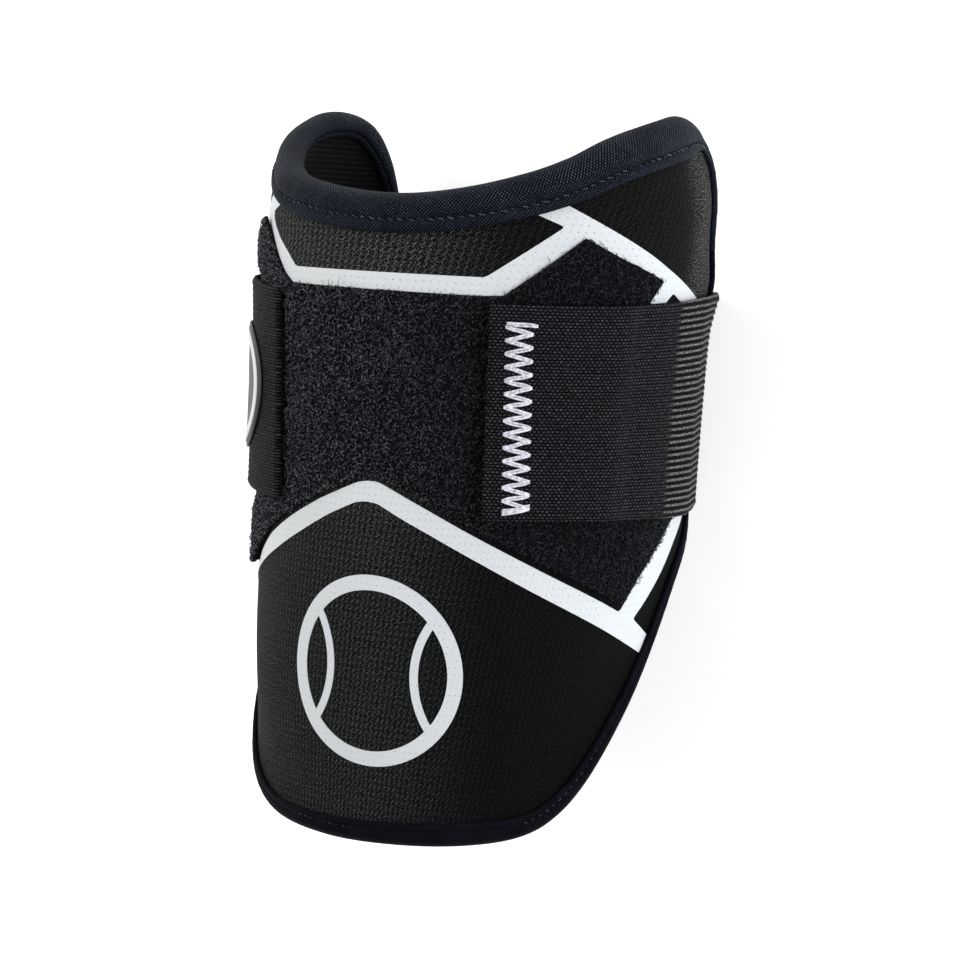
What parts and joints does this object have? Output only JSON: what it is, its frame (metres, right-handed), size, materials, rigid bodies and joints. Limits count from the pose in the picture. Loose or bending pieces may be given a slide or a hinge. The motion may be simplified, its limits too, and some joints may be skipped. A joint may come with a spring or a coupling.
{
  "type": "baseball elbow guard",
  "caption": "Padded sports elbow guard: a curved shell with a rolled top rim, a raised loop patch across the front and one wide elastic strap.",
  "frame": {"origin": "under the middle of the guard's box, on the surface that it lies on with its front up", "axes": "+X towards the wearer's side with the lower wing, +Y along the arm towards the rolled top rim, +Z out of the padded front"},
  "size_m": [0.115, 0.1712, 0.0894],
  "materials": {
    "mesh_fabric": "matt knitted mesh over foam, with white printed stripes",
    "ribbed_lining": "matt ribbed cloth",
    "rim_twill": "fine twill, slightly blue black",
    "edge_tape": "fine twill tape, slightly blue black",
    "loop_pile": "matt looped pile",
    "elastic_web": "woven elastic web, charcoal",
    "hook_tape": "black hook tape",
    "emblem_rubber": "satin rubber, light grey border on black"
  },
  "bodies": {
    "root": {"shell": "mesh_fabric", "lining": "ribbed_lining", "top_rim": "rim_twill", "edge_binding": "edge_tape", "loop_panel": "loop_pile", "strap": "elastic_web", "hook_tab_right": "hook_tape", "hook_tab_left": "hook_tape", "strap_emblem": "emblem_rubber"}
  },
  "joints": []
}
